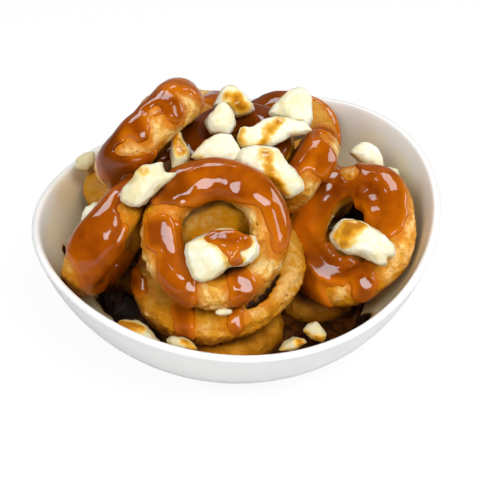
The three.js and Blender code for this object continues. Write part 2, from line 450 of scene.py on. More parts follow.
curdLook = dict(
    palette(pale=(252, 249, 228), middle=(248, 243, 214), deep=(240, 228, 184), shaded=(228, 204, 140),
            dulled=(206, 196, 150), tinted=(246, 214, 124), stained=(222, 158, 20), coated=(172, 100, 2)),
    patch=90.0, speck=600.0, grain=520.0, pores=160.0, grainDepth=0.2 * mm, roughness=(0.36, 0.56),
    # the hidden rows are painted shade: the curd turns shaded where less sky is seen
    hidden=[(0.0, 0.34, 0.8, 0.0, "shaded")],
    stains=[(0.0, 0.3, 0.0, 1.0, "tinted"), (0.18, 0.66, 0.0, 1.0, "stained"), (0.6, 1.0, 0.0, 0.7, "coated")],
)


def buildCurd(look):
    material, w, shader, where = newMaterial("cheeseCurd")
    tone = mottled(w, where, look)
    stain = w.value("stain")
    # painted shade: darker where less sky is seen, and greyer on curds set to lie in shade
    shade = w.coats(tone["Color"], w.value("open"), look, look["hidden"])
    shade = w.mix(w.value("dull"), shade, look["dulled"])
    shade = w.coats(shade, stain, look, look["stains"])
    skin = w.group(grain, Vector=where, Grain=look["grain"], Pores=look["pores"])
    w.feed(shader, {
        "Base Color": shade, "Roughness": w.range(tone["Patches"], 0.3, 0.7, *look["roughness"]),
        "Subsurface Weight": 0.6, "Subsurface Radius": (1.0, 0.85, 0.55), "Subsurface Scale": 5 * mm,
        "Specular IOR Level": 0.12, "Coat Weight": w.range(stain, 0.3, 0.7, 0.0, 0.8), "Coat Roughness": 0.12,
        "Normal": w.bump(skin["Height"], look["grainDepth"], 0.6),
    })
    return material


porcelainLook = dict(
    palette(glaze=(248, 247, 245), cool=(243, 243, 243), clay=(222, 214, 200), warm=(247, 231, 182),
            film=(222, 178, 118), dark=(34, 20, 12)),
    drift=14.0, smear=60.0, waves=(45.0, 0.15 * mm), foot=(0.2 * mm, 0.9 * mm),
    # the three tones paint gravy and shade on the wall: warm, brown, then near black
    smears=[(0.08, 0.6, 0.0, 1.0, "warm"), (0.66, 0.9, 0.0, 1.0, "film"), (0.88, 1.0, 0.0, 1.0, "dark")],
)


def buildPorcelain(look):
    material, w, shader, where = newMaterial("whitePorcelain")
    drift = w.noise(where, look["drift"])
    height = w.feed(w.node("SeparateXYZ"), {0: where})["Z"]
    bare = w.range(height, *look["foot"], 1.0, 0.0)  # the foot's standing edge is not glazed
    glaze = w.mix(bare, w.mix(w.range(drift, 0.35, 0.65), look["glaze"], look["cool"]), look["clay"])
    # the wall's film value is gravy and painted shade together
    smear = w.math("ADD", w.value("film"), w.range(w.noise(where, look["smear"], 3), 0.3, 0.7, -0.015, 0.015))
    w.feed(shader, {
        "Base Color": w.coats(glaze, smear, look, look["smears"]), "Specular IOR Level": 0.28,
        "Roughness": w.math("ADD", w.range(drift, 0.3, 0.7, 0.12, 0.2), w.math("MULTIPLY", bare, 0.5)),
        "Normal": w.bump(w.noise(where, look["waves"][0]), look["waves"][1], 0.5),
    })
    return material


dregsLook = dict(
    palette(pale=(84, 44, 12), middle=(54, 26, 8), deep=(32, 14, 5)), patch=120.0, speck=420.0, roughness=(0.16, 0.3),
)


def buildDregs(look):  # gravy under the heap, painted nearly black as shade, with little shine
    material, w, shader, where = newMaterial("gravyDregs")
    tone = mottled(w, where, look)
    w.feed(shader, {
        "Base Color": tone["Color"], "Roughness": w.range(tone["Patches"], 0.3, 0.7, *look["roughness"]),
        "Specular IOR Level": 0.06, "Normal": w.bump(tone["Patches"], 1.5 * mm),
    })
    return material


batter = buildBatter(batterLook)
gravy = buildGravy(gravyLook)
cheese = buildCurd(curdLook)
porcelain = buildPorcelain(porcelainLook)
dregs = buildDregs(dregsLook)
print("materials built")

# the bowl: a wall that is part of a ball, with a rim that rises at the back right and dips at the sides
bowlShape = dict(
    inMm(radius=105, height=64, wall=4.5, floor=5.5, footOuter=58, footInner=50, recess=2, foot=0.8, spillEdge=2,
         spillSize=5, filmBlur=9),
    steps=128, top=0.17, bottom=0.66, sway=(8.4 * mm, 0.65), wave=(7.5 * mm, 0.52),
    wettest=0.86, wetRight=0.14,  # the most film, gravy and painted shade, and how much more on the right
    spills=[  # gravy on the wall, and painted shade: a place and a reach, in mm
        # the first is painted shade on the wall seen through the right ring's hole
        (68, 45, 30, 26), (88, -1, 50, 6), (-90, -2, 34, 8), (-87, -9, 31, 7), (-66, -18, 9, 20), (-50, -45, 8, 20),
        (20, -66, 9, 26), (60, -42, 12, 24),
    ],
)


def rimHeight(angle):
    b = bowlShape
    return b["height"] + b["sway"][0] * np.cos(angle - b["sway"][1]) + b["wave"][0] * np.cos(2 * (angle - b["wave"][1]))


def wallRadius(share):
    drop = bowlShape["top"] + bowlShape["bottom"] * (1 - share)
    return bowlShape["radius"] * np.sqrt(1 - drop * drop) / math.sqrt(1 - bowlShape["top"] ** 2)


def waveWall(points):
    b = bowlShape
    share = np.clip((points[:, 2] / b["height"] - 0.1) / 0.9, 0, 1.05)
    points[:, 2] += (rimHeight(np.arctan2(points[:, 1], points[:, 0])) - b["height"]) * share
    return points


def buildBowl():
    b = bowlShape
    high, wall, floor, lip = b["height"], b["wall"], b["floor"], b["wall"] / 2
    near, far, lipIn = b["footInner"], b["footOuter"], b["radius"] - lip
    profile = [(0, b["recess"]), (near - 2 * mm, b["recess"]), (near, b["foot"]), (near + 1 * mm, 0)]
    profile += [(far - 1 * mm, 0), (far, b["foot"]), (far + 1 * mm, 2.6 * mm)]
    profile += [(float(wallRadius(s)), s * high) for s in np.linspace(0.1, 0.95, 11)]
    profile += [(lipIn + lip * math.cos(a), high - lip + lip * math.sin(a)) for a in np.linspace(0.3, math.pi - 0.3, 7)]
    profile += [(float(wallRadius(s)) - wall, s * high) for s in np.linspace(0.94, 0.2, 10)]
    profile += [(wallRadius(s) - wall - inset * mm, floor + z * mm) for s, inset, z in ((0.13, 2, 1.6), (0.08, 8, 0))]
    profile.append((0, floor))
    bm = bmesh.new()
    chain = [bm.verts.new((r, 0, z)) for r, z in profile]
    edges = [bm.edges.new(pair) for pair in zip(chain[:-1], chain[1:])]
    turn = dict(cent=(0, 0, 0), axis=(0, 0, 1), angle=2 * math.pi, steps=b["steps"], use_merge=True)
    bmesh.ops.spin(bm, geom=chain + edges, **turn)
    bmesh.ops.remove_doubles(bm, verts=bm.verts, dist=0.01 * mm)
    bmesh.ops.recalc_face_normals(bm, faces=bm.faces)
    sortMesh(bm)
    bowl = newPiece("porcelainBowl", bm)
    movePoints(bowl, waveWall(pointsOf(bowl)))
    roundOff(bowl, 1)
    applyModifiers(bowl)
    seen = openness(bowl, samples=5000, around=40, blur=b["filmBlur"])
    points, normals = pointsOf(bowl), normalsOf(bowl)
    facing = -(normals[:, :2] * points[:, :2]).sum(axis=1) / np.maximum(np.linalg.norm(points[:, :2], axis=1), 1 * mm)
    facing += np.clip(normals[:, 2], 0, 1) * (points[:, 2] < 20 * mm)
    inside = np.where(points[:, 2] > floor - 1 * mm, smoothStep(0.0, 0.4, facing), 0)
    # painted shade: the wall is filmed brown where less of the sky is seen, more so on the right, with gravy on top
    wet = np.clip((1 + b["wetRight"] * points[:, 0] / b["radius"]) * (1 - seen), 0, b["wettest"])
    for x, y, z, reach in b["spills"]:
        away = np.linalg.norm(points - np.array([x, y, z]) * mm, axis=1)
        away += b["spillEdge"] * lumps(points, b["spillSize"], 14)
        wet = np.maximum(wet, smoothStep(reach * mm, 0.55 * reach * mm, away))
    keepValue(bowl, "film", inside * wet)
    finishPiece(bowl, porcelain, "bowl", "bowl")
    return bowl


bowl = buildBowl()
print("bowl built:", len(bowl.data.polygons), "faces")

# the onion rings
# turn, lean and radius place a ring's face; a gravy stroke is a row of (hour, side, half width in mm) on it, with
# twelve o'clock at the top of the slope and side 0 on the outer edge, 90 on the face, 180 in the hole
# pools of gravy name the softbox that they face, bare and bank thin and thicken the gravy; lit and glowOn are painted
# light, a glow on the batter and gravy, and dimOn is painted shade on the gravy; cleft is the gap under the ring above,
# carved and painted dark as shade; the soaking share is gravy soaked in and partly painted shade, tinting the batter
# golden; dusk darkens a low ring as painted shade
ringSet = {}
ringSet["front"] = dict(
    turn=6, lean=48, radius=26.5, wide=9.5, thick=9, ragged=0.8,
    dimOn=[[(10.2, 70, 4), (10.7, 90, 5), (10.9, 60, 4)]],
    gravy=[
        [(10.2, 40, 6), (10.4, 50, 7), (10.7, 50, 9), (11.2, 45, 10), (11.7, 40, 10), (0.3, 40, 10), (0.8, 45, 10),
         (1.3, 50, 9), (1.8, 50, 8), (2.3, 50, 7), (2.8, 50, 6), (3.2, 55, 4)],
        [(10.5, 80, 6), (11, 90, 8), (11.6, 100, 9), (0.3, 100, 9), (1, 92, 8), (1.5, 80, 6), (2, 75, 5),
         (2.4, 72, 4.5), (3, 72, 4), (3.4, 72, 2.8)],
        [(10.7, 130, 3), (11, 150, 3.5), (11.6, 155, 3), (0.2, 145, 3)],
        [(9.3, 95, 5.5), (8.8, 105, 6), (8.3, 115, 6), (7.8, 110, 6.5), (7.3, 100, 7), (7, 70, 6.5), (6.8, 40, 5)],
        [(9.2, 70, 5), (8.8, 75, 5)], [(8, 90, 5), (7.7, 75, 6), (7.4, 60, 6), (7.1, 45, 6), (6.9, 10, 5)],
        [(9.3, 145, 4), (8.7, 160, 5), (8.3, 165, 5)], [(5.2, 145, 4), (5.1, 110, 6), (5.1, 75, 7), (5.3, 50, 6)],
    ],
    pools=[
        ("front", (11.58, 105, 3.4)), ("front", (0.75, 106, 3.2)), ("front", (10.45, 118, 2)),
        ("front", (1.5, 92, 2), (1.95, 78, 2.4)), ("side", (2.2, 70, 1.6), (2.75, 74, 1.8), (3.2, 72, 1.6)),
        ("front", (9.2, 112, 3.4), (8.4, 118, 3)), ("front", (6.9, 82, 2.6)),
        ("front", (5.02, 122, 1.4), (5.02, 98, 2.6), (4.97, 72, 3.2)),
    ],
)
ringSet["wide"] = dict(
    turn=-52, lean=15, radius=35.5, wide=9.5, thick=9, ragged=0.9, soak=0.5,
    lit=[[(11, 145, 6.5), (11.6, 135, 7), (0.1, 140, 5.5)]],
    cleft=[[(4.8, 76, 1.6), (4.5, 76, 1.9), (4.3, 76, 2.1), (4.1, 80, 1.8), (3.8, 85, 1.3), (3.55, 86, 0.9)]],
    gravy=[
        [(8.7, 20, 5), (8.2, 55, 5.5), (7.9, 60, 4)], [(6.6, 95, 5.5), (6.4, 70, 6), (6.3, 30, 5.5)],
        [(5.1, 75, 3.8), (5.2, 45, 3.8), (5.2, 20, 3.8)],
    ],
    pools=[("front", (5.1, 52, 1.8), (5.13, 28, 1.8))],
)
ringSet["right"] = dict(
    turn=-44, lean=37, radius=27.5, wide=9.5, thick=9.5, glow=0.2,
    gravy=[
        [(11.7, 30, 5), (0.1, 25, 8), (0.6, 35, 9), (1.2, 58, 8), (1.8, 78, 7), (2.4, 92, 6.5), (2.9, 102, 6),
         (3.2, 112, 4)],
        [(0.3, 75, 7), (0.7, 95, 9), (1.4, 115, 9), (2.1, 125, 9), (2.8, 135, 7)],
        [(11.2, 95, 6), (11.8, 110, 6), (0.4, 125, 6), (0.7, 160, 6), (1.2, 185, 6)],
        [(11.4, 55, 7), (11, 75, 8), (10.6, 85, 8), (10.1, 85, 8), (9.7, 85, 9)],
        [(9.8, 40, 8), (9.1, 45, 9), (8.6, 50, 9), (8, 55, 9), (7.5, 50, 9), (6.9, 45, 8), (6.6, 30, 6), (6.3, 5, 4)],
        [(9.5, 105, 8), (8.8, 105, 8), (8, 115, 9), (7.1, 115, 9), (6.4, 115, 8), (5.7, 120, 7), (5.2, 100, 6)],
        [(7.6, 165, 7), (6.6, 165, 7), (5.6, 165, 6)],
        [(11.2, 125, 6), (10.7, 130, 7), (10.1, 140, 7), (9.5, 150, 6), (8.8, 172, 5), (7.9, 190, 5), (6.2, 160, 5)],
        [(5.1, 90, 6), (5.1, 55, 6), (5.3, 25, 6)],
    ],
    bare=[[(11.75, 35, 4.5), (11.95, 72, 4.5)]],
    lit=[[(2.4, 20, 8), (3.2, 20, 8), (4.2, 25, 8)], [(10.2, 172, 4), (9.9, 180, 5), (9.5, 186, 4)]],
    bank=[
        [(0.4, 165, 5), (1.2, 165, 6.5), (2.2, 165, 6.5), (3.1, 165, 5)], [(7.6, 165, 6), (6.6, 165, 7), (5.6, 165, 6)],
    ],
    glowOn=[[(10, 95, 6), (9.5, 100, 8), (8.9, 100, 8), (8.3, 95, 6)], [(7.6, 165, 7), (6.6, 165, 8), (5.6, 165, 7)]],
    pools=[
        ("any", (11.34, 74, 4.2)), ("any", (11.09, 102, 2.8)), ("back", (0.6, 125, 3.4)), ("back", (1.25, 136, 3.4)),
        ("top", (8.7, 110, 3.6), (8.2, 118, 4), (7.66, 121, 4.2), (7.1, 114, 5), (6.6, 103, 5.2), (6.2, 97, 4.4),
         (5.8, 88, 2.6)),
        ("any", (4.73, 103, 2)), ("front", (5.15, 60, 3), (5.1, 46, 3)),
    ],
)
ringSet["left"] = dict(
    turn=-119, lean=66, radius=25, wide=9.5, thick=10, soak=0.8,
    gravy=[
        [(10.2, 35, 8), (9.7, 45, 9), (9.2, 45, 9), (8.8, 45, 9), (8.5, 40, 8)],
        [(9.7, 10, 8), (9.3, 5, 9), (8.9, 0, 9), (8.6, -8, 9), (8.3, -20, 8), (7.9, -38, 5), (7.3, -50, 2.5)],
        [(9.4, -35, 6), (9.1, -50, 6), (8.7, -50, 5), (8.3, -45, 4)],
        [(9.1, -75, 5), (8.6, -75, 6), (8.2, -70, 6), (7.8, -70, 6)], [(10.4, 20, 6), (10.8, 5, 4)],
        [(10.4, 45, 7), (10.8, 50, 7), (11.3, 55, 6)],
        [(8.3, -85, 6), (7.7, -85, 7), (7.1, -85, 6), (6.2, -112, 6), (5.2, -122, 6), (4.4, -126, 6), (3.7, -136, 5)],
    ],
    bare=[[(10.1, -12, 3.6), (10, -30, 4.2), (9.8, -52, 3.6)]],
    pools=[("any", (9.8, -5, 1.6), (9.6, -25, 1.6)), ("any", (9.7, -50, 2.2), (9.3, -55, 2.2))],
)
ringSet["top_left"] = dict(
    turn=-118, lean=54, radius=25, wide=9.5, thick=10.5,
    dimOn=[[(4.2, 60, 8), (4.4, 10, 9), (4.6, -40, 9), (5.4, -80, 8)]],
    gravy=[
        [(4.7, 60, 8), (4.3, 85, 9), (3.7, 90, 9), (3.1, 90, 9), (2.5, 90, 9), (1.8, 90, 9), (1, 90, 8), (0.4, 60, 6),
         (0.4, 20, 5)],
        [(3.2, 85, 6), (3.15, 45, 6), (3.2, 15, 5), (3.25, -8, 4)],
        [(4.6, 30, 9), (4.2, 25, 8), (4.3, -5, 9), (4.3, -35, 9), (4, -50, 7), (3.6, -60, 5)],
        [(5, -5, 9), (5, -40, 9), (5.5, -80, 9), (6.6, -110, 8)],
        [(2.3, 55, 6), (2.15, 30, 7), (2.1, 5, 7), (2.1, -22, 5.5), (2.2, -38, 3)],
        [(1.4, 80, 6), (1.2, 30, 5.5), (0.9, -5, 5), (0.6, -45, 4)],
    ],
    bare=[
        [(2.45, 22, 3.4), (2.6, 6, 5), (2.7, -12, 5.4), (2.9, -30, 5), (3.1, -44, 4)],
        [(4.08, 18, 2), (3.9, 8, 3), (3.7, -12, 3.8), (3.4, -38, 3.4)],
    ],
    pools=[
        ("any", (2.6, 50, 2), (2.45, 25, 2)), ("any", (2, -10, 1.8), (2.1, -25, 1.8)), ("any", (3.2, -2, 1.8)),
        ("any", (1.5, -5, 2.4), (1.2, -15, 2.4)),
    ],
)
ringSet["low_left"] = dict(
    turn=-154, lean=12, radius=22, wide=9.5, thick=9, soak=1.0,
    gravy=[[(1, 90, 9), (0, 80, 9), (11, 90, 8)]],
)
ringSet["back_left"] = dict(
    turn=-176, lean=21, radius=18, wide=9, thick=8.5, soak=0.2,
    gravy=[[(4.4, 90, 7), (4.2, 70, 6), (3.4, 80, 7), (2.4, 80, 7)]],
)
ringSet["back_right"] = dict(
    turn=20, lean=10, radius=20.5, wide=9, thick=9, soak=0.95,
    dimOn=[[(10, 90, 9), (11, 80, 9), (11.8, 60, 6)]],
    gravy=[
        [(10, 90, 8), (10.8, 60, 7), (11.2, 100, 7), (11.6, 60, 5)],
        [(12, 40, 4), (1, 35, 4), (1.8, 30, 4), (2.4, 25, 4.5), (3, 15, 4), (3.5, 5, 3)], [(4, 100, 6), (3.8, 60, 5)],
    ],
)
ringSet["small"] = dict(
    turn=-107, lean=57, radius=15, wide=9, thick=9,
    gravy=[
        [(3.4, 60, 6), (2.6, 75, 9), (1.9, 70, 9), (1.4, 45, 9), (1.6, 10, 8), (1.7, -25, 7), (2, -55, 6)],
        [(2.4, -10, 7), (2.8, -10, 4), (2.4, -80, 5)], [(2.8, 70, 6), (2.3, 65, 7), (1.8, 50, 7)],
    ],
    bare=[[(1.1, 22, 3.4), (1.2, 4, 4.4), (1.2, -20, 5), (1.15, -46, 5)]],
    pools=[("any", (1.9, -38, 2.4))],
)
ringSet["crown"] = dict(
    turn=-60, lean=7, radius=22, wide=9, thick=8.5,
    dimOn=[[(h, 90, 12) for h in (0, 2, 4, 6, 8, 10, 12)]],
    gravy=[[(h, 90, 11) for h in (0, 2, 4, 6, 8, 10, 12)]],
)
for name, turn, lean, radius, soak, dusk in (  # plain rings at the bottom of the heap
    ("floor_front", -150, 6, 23, 0.7, 0.62), ("floor_left", 138, 9, 22, 0.6, 0.7),
    ("floor_right", -40, 13, 23, 0.7, 0.62), ("floor_back", -7, 9, 21, 0.5, 1), ("under_left", -105, 11, 22, 0.7, 1),
    ("under_right", -97, 10, 19, 0.7, 1), ("under_back", 99, 18, 17, 0.7, 1),
):
    ringSet[name] = dict(turn=turn, lean=lean, radius=radius, wide=9, thick=8.5, soak=soak, dusk=dusk)
ringSet["under_back"].update(wide=8, thick=7.5)
crust = dict(
    inMm(voxel=0.8, coarseVoxel=1.3, swell=0.55, lump=0.5, lumpSize=13, crag=0.4, cragSize=3.6, ragged=1.1,
         raggedSize=3.2, pit=0.9, pitSize=2.6, pitPatch=11, toastSize=16, cleft=2.4),
    easing=12, glazeEdge=(-6.5 * mm, 0.8 * mm), litEdge=(-5 * mm, 3 * mm), litShare=0.55,
)
gravyCoat = inMm(
    bank=5.5, thick=1.6, sunk=1.1, edge=2.2, ripple=0.7, rippleSize=9.5, wander=1.1, wanderSize=7, voxel=0.7, cleft=2.6,
)
poolShape = dict(
    inMm(soft=1.2, wander=0.6, wanderSize=3.2, near=6, raised=4.2, lowered=1.1, clear=1.5), lean=0.05, level=60,
)
brushEdge = inMm(wander=1.5, size=6)


def ringAxes(ring):  # the way the ring faces, and where twelve and three o'clock lie on it
    face = wayTo(ring["turn"], 90 - ring["lean"])
    twelve = unit(upSlope - (upSlope @ face) * face)
    three = np.cross(twelve, face)
    three *= 1 if three[0] > 0 else -1
    return face, twelve, three


def ringPoint(ring, middle, hour, side):
    face, twelve, three = ringAxes(ring)
    h, s = math.radians(hour * 30), math.radians(side)
    outward = twelve * math.cos(h) + three * math.sin(h)
    reach = ring["radius"] + ring["wide"] * math.cos(s)
    return middle + (outward * reach + face * ring["thick"] * math.sin(s)) * mm


def placeStroke(ring, middle, stroke, lift=0):
    return [(ringPoint(ring, middle, h, s) + lift * outSlope, w * mm) for h, s, w in stroke]


def middleOf(node):
    low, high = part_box(node)
    return np.array((low + high) / 2)


def layFlat(points, normals, box, spots, seed):  # gravy pooled level with a softbox, where a broad patch of it shines
    middle = np.mean([place for place, _ in spots], axis=0)
    nearest = unit(sum(normals[np.argmin(np.linalg.norm(points - place, axis=1))] for place, _ in spots))
    choice = []
    for name, place in shinePlaces.items():
        way = unit(place - middle)
        half = unit(unit(eyePlace - middle) + way)
        hidden = shelter.ray_cast(Vector(middle + nearest * poolShape["clear"]), Vector(way), 0.2)[0] is not None
        choice.append((half @ nearest - 0.4 * hidden + (name == box), tuple(half)))
    tilt = np.array(max(choice)[1])
    run = spots[-1][0] - spots[0][0]
    if run @ run > 1e-9:  # a long pool leans a little along its own line
        along = unit(run)
        tilt = unit(tilt - np.clip(tilt @ along, -poolShape["lean"], poolShape["lean"]) * along)
    over = (points - middle) @ tilt
    flat = points - over[:, None] * tilt
    line = [(place - ((place - middle) @ tilt) * tilt, radius) for place, radius in spots]
    depth = inStrokes(flat, [line], poolShape["wander"], poolShape["wanderSize"], seed)
    near = (np.abs(over) < poolShape["near"]) & (normals @ tilt > 0.1)
    share = smoothStep(-poolShape["soft"], 0.4 * mm, depth) * near
    if share.max() < 0.5:
        return points
    level = np.percentile(over[share > 0.5], poolShape["level"])
    return points - tilt * (np.clip(over - level, -poolShape["raised"], poolShape["lowered"]) * share)[:, None]


def coatOver(form, name, seed, coat, strokes, pools=(), bare=(), bank=()):
    # a closed skin that stands proud of the form only inside the strokes
    cover = newPiece(name, gather([form.data]))
    points, normals = pointsOf(cover), normalsOf(cover)
    depth = np.minimum(inStrokes(points, strokes), -inStrokes(points, bare))
    depth += coat["wander"] * lumps(points, coat["wanderSize"], seed)
    bulge = np.sqrt(np.clip(1 - (1 - np.clip(depth / coat["edge"], 0, 1)) ** 2, 0, 1))
    rise = np.where(depth > 0, coat["thick"] * bulge, -coat["sunk"] * np.clip(-depth / coat["sunk"], 0, 1))
    rise += coat["ripple"] * lumps(points, coat["rippleSize"], seed + 5) * smoothStep(0, 5 * mm, depth)
    rise += coat["bank"] * smoothStep(-1 * mm, 4 * mm, inStrokes(points, bank))  # gravy gathered thick
    risen = points + normals * rise[:, None]
    for box, spots in pools:
        risen = layFlat(risen, normals, box, spots, seed)
    movePoints(cover, risen)
    return cover


def addCrust(form, ring, middle, seed):
    c, points = crust, pointsOf(form)
    pits = smoothStep(0.52, 0.62, lumps(points, c["pitSize"], seed + 9))
    pits *= smoothStep(0.1, 0.3, lumps(points, c["pitPatch"], seed + 4))  # in patches
    rise = c["lump"] * lumps(points, c["lumpSize"], seed) + c["crag"] * lumps(points, c["cragSize"], seed + 2, 3)
    rise -= c["pit"] * pits
    face, _, _ = ringAxes(ring)
    apart = points - middle
    reach = np.linalg.norm(apart - (apart @ face)[:, None] * face, axis=1)
    outer = smoothStep(0.55, 0.95, (reach / mm - ring["radius"]) / ring["wide"]) * ring.get("ragged", 0.3)
    rise += c["ragged"] * outer * (lumps(points, c["raggedSize"], seed + 6, 2) - 0.15)  # crags along its outer edge
    swellPiece(form, rise)
    keepValue(form, "toast", np.clip(0.25 + 0.5 * lumps(points, c["toastSize"], seed + 7) + 0.8 * pits, 0, 1))


ringForms = {}
gravyParts = {}
ringMarks = {}
for number, (name, ring) in enumerate(ringSet.items()):
    node = "ring_" + name
    middle = middleOf(node)
    kinds = ("gravy", "bare", "bank", "cleft", "lit", "glowOn", "dimOn")
    marks = {kind: [placeStroke(ring, middle, stroke) for stroke in ring.get(kind, [])] for kind in kinds}
    voxel = crust["voxel"] if marks["gravy"] else crust["coarseVoxel"]
    form = formFrom(node, "onionRing_" + name, voxel, crust["easing"], crust["swell"])
    points = pointsOf(form)
    cleft = inStrokes(points, marks["cleft"], 1.2 * mm, 2.6 * mm, number + 80)  # a deep gap under another ring, carved and painted dark as shade
    if marks["gravy"]:
        lift = 1.3 * gravyCoat["thick"]
        pools = [(box, placeStroke(ring, middle, spots, lift)) for box, *spots in ring.get("pools", [])]
        painted = dict(strokes=marks["gravy"], bare=marks["bare"], bank=marks["bank"])
        cover = coatOver(form, "gravyOn_" + name, 40 + number, gravyCoat, pools=pools, **painted)
        sunk = gravyCoat["cleft"] * smoothStep(-0.6 * mm, 1.4 * mm, cleft)
        movePoints(cover, pointsOf(cover) - normalsOf(form) * sunk[:, None])
        gravyParts[name] = cover
    covered = inStrokes(points, marks["gravy"], seed=number + 60, **brushEdge)
    covered = np.minimum(covered, -inStrokes(points, marks["bare"]))
    addCrust(form, ring, middle, number)
    swellPiece(form, -crust["cleft"] * smoothStep(-0.3 * mm, 1.4 * mm, cleft))
    lit = smoothStep(*crust["litEdge"], inStrokes(pointsOf(form), marks["lit"], seed=number, **brushEdge))
    glow = lit * ring.get("glow", 1.0)  # painted light: the batter glows, brightening a part that the lamps leave dark
    glaze = smoothStep(*crust["glazeEdge"], np.maximum(covered, cleft - 1 * mm))
    # the sky seen is cut by dusk as painted shade and raised by painted light; the glaze takes painted light too
    for value, amounts in (
        ("soak", ring.get("soak", 0.0)), ("cleft", smoothStep(-0.4 * mm, 0.5 * mm, cleft)), ("lit", glow),
        ("open", np.maximum(openness(form) * ring.get("dusk", 1.0), crust["litShare"] * lit)),
        ("glaze", np.maximum(glaze, crust["litShare"] * glow)),
    ):
        keepValue(form, value, amounts)
    finishPiece(form, batter, "batter", node)
    ringForms[name], ringMarks[name] = form, marks
print("onion rings built:", sum(len(f.data.polygons) for f in ringForms.values()), "faces")

# gravy on the rings, run together where rings lie against each other
gravyRuns = {
    "front": ["front", "wide"],
    "right": ["right", "small", "back_right"],
    "left": ["left", "top_left", "low_left"],
    "middle": ["crown", "back_left"],
}
for name, members in gravyRuns.items():
    run = joinPieces([gravyParts[m] for m in members], "gravyRun_" + name)
    skinOver(run, gravyCoat["voxel"], easing=3)
    points = pointsOf(run)
    strokes = {kind: [s for m in members for s in ringMarks[m][kind]] for kind in ("gravy", "glowOn", "dimOn")}
    keepValue(run, "depth", inStrokes(points, strokes["gravy"]) / mm)
    # painted light where glowOn is set, painted shade where dimOn is set
    for value, kind in (("lit", "glowOn"), ("dim", "dimOn")):
        keepValue(run, value, smoothStep(-3 * mm, 3 * mm, inStrokes(points, strokes[kind], 1.5 * mm, 9 * mm, 7)))
    keepValue(run, "open", openness(run))
    finishPiece(run, gravy, "gravy")
    print("gravy run", name, len(run.data.polygons), "faces")

# the cheese curds: each is torn to an outline, in mm to the right of and above its middle, and lies facing the front;
# a gravy stroke is a row of (right, up, half width) on it
curdSet = {}
curdSet["front_hole"] = dict(
    outline=[(-16.7, 5.2), (-17, 1), (-15.8, -5), (-13.4, -10.9), (-8.6, -12.7), (-3.8, -11.8), (1, -8.5), (3.5, -5.4),
        (10.5, -5), (14, -3.5), (17.4, 0.4), (17.7, 4.6), (16, 8.8), (10.5, 9), (7, 11.6), (2.7, 12.6), (-2.6, 11.6),
        (-8.6, 9.2), (-13.4, 7)],
    thick=True, gravy=[[(-9, 10, 2.5), (-4, 9, 4), (2, 8, 5.5), (10, 7, 4.5)], [(3, 2, 3.4), (6, -2, 3.6), (8, -4, 3)]],
)
curdSet["right_hole"] = dict(
    outline=[(-16.7, 2.7), (-13.9, 7.5), (-10.5, 10.9), (-5.1, 11.2), (1, 8.8), (5.8, 6.1), (11.2, 2.7), (15.3, -2),
        (16, -6.8), (14, -8.4), (11.6, -7), (11.4, -11.9), (8.5, -12.2), (4.4, -10.2), (-2.4, -6.8), (-7.8, -6.1),
        (-12.6, -3.4), (-16, 0.7)],
    gravy=[[(-13, 4, 3.6), (-7, 7, 5), (-2, 9, 3.4)], [(-9, 0, 3.4)]],
)
curdSet["left_notch"] = dict(
    outline=[(-13.2, -5.6), (-12.3, -2), (-7.5, 3.9), (-6.3, 6.9), (-2.7, 9.9), (2.6, 10.2), (6.2, 11.6), (7.2, 8.2),
        (8, 6.4), (13.2, 5.9), (9.2, 1.6), (3.8, -3.2), (-1, -8), (-4.5, -10), (-9.9, -8.9), (-12.9, -7.4)],
    gravy=[[(-3, 7, 1.8), (-1.5, 5.5, 1.6)]], dull=0.25,
)
curdSet["middle"] = dict(
    outline=[(-17, 6.9), (-14, 11.5), (-8, 13), (-1.4, 12.9), (2.6, 12.2), (5.2, 9.5), (7.9, 5.6), (11.9, 1.6),
        (13.9, -1.7), (16.2, -5.7), (16.8, -8.4), (15.2, -10), (11.2, -12.3), (7.9, -12.3), (3.2, -9), (-2, -5),
        (-8.7, -2), (-14.7, 1.5)],
    gravy=[[(-3, 13, 2.4), (-2, 6, 2.8), (0, -1, 3.2), (3, -7, 3), (7, -13, 2.6)], [(-16, 3, 1.6)]],
)
curdSet["behind_front"] = dict(
    outline=[(-12.9, -4.1), (-10.2, -0.1), (-6.2, 4.2), (-1.6, 6.5), (3, 7.3), (7.7, 7.5), (9.7, 3.8), (12.3, -0.8),
        (12.7, -3.4), (10.7, -8.1), (4.4, -8), (-5.6, -7.5)],
    gravy=[[(-12, -6, 2), (-5, -8, 1.6)]],
)
curdSet["crown"] = dict(
    outline=[(-7.7, -1.3), (-6, 1.7), (-3, 4.6), (0, 8), (2.6, 9), (4.6, 6.6), (7.2, 3), (8, -2.3), (6.9, -6.3),
        (5, -9), (0, -8), (-5, -7.6), (-7, -4.3)],
)
curdSet["long"] = dict(
    outline=[(-18, -1.5), (-16, 3.5), (-12, 2.5), (-8, 4.5), (-2.9, 7.2), (2.5, 8.4), (7, 7.7), (12.4, 6.6), (17, 5.8),
        (20, 1.2), (15, -0.5), (9, -1.5), (5, -4), (-0.2, -6.4), (-8.2, -6.8), (-13.5, -8.4), (-16.4, -6.8)],
    gravy=[[(-6, -7, 1.6), (-2, -1, 2.4), (3, 6, 2)], [(-17, 2, 2.4), (-16, -5, 2.4)]],
)
curdSet["back"] = dict(
    outline=[(-11.7, -3.4), (-9, 0.4), (-7.6, 4.4), (-5.6, 8), (-1, 8.4), (3.6, 5.4), (7, 2), (10.3, -1.9),
        (10.9, -4.2), (8.3, -6.9), (1, -8.9), (-3, -4.2), (-7, -2.6)],
    gravy=[[(-3, 2, 2), (1, -1, 4), (5, -5, 3.4)]],
)
